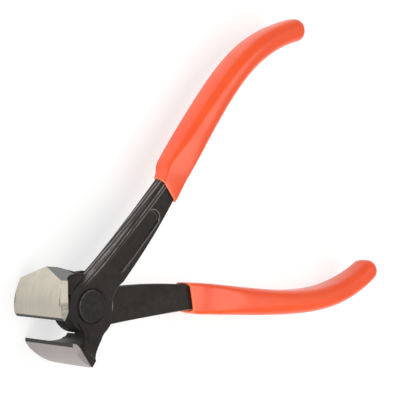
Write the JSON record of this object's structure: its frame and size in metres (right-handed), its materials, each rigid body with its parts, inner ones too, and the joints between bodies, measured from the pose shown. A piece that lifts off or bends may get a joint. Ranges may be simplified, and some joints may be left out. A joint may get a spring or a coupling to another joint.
{
  "type": "front cutting pliers",
  "caption": "Front cutting pliers with curved bevelled jaws across the front, a lapped rivet joint and bowed handles in dipped plastic grips.",
  "frame": {"origin": "centre of the joint rivet's front face, on the axis that both levers turn about", "axes": "+Z along the rivet's axis, out of the joint's front face, +X from the joint to the grips midway between the handles, +Y across the tool towards the front lever's handle"},
  "size_m": [0.1934, 0.14, 0.032],
  "materials": {
    "blackened_steel": "black satin over forged steel, ground bright on the jaws",
    "rivet_steel": "black satin, ground flush",
    "grip_plastic": "glossy dipped vinyl"
  },
  "bodies": {
    "front_half": {"front_lever": "blackened_steel", "joint_rivet": "rivet_steel", "front_grip": "grip_plastic"},
    "rear_half": {"rear_lever": "blackened_steel", "rear_grip": "grip_plastic"}
  },
  "joints": [
    {"name": "cutting_joint", "type": "hinge", "parent": "front_half", "child": "rear_half", "pos_m": [0, 0, 0], "axis": [0, 0, 1], "range_deg": [-10, 26]}
  ]
}
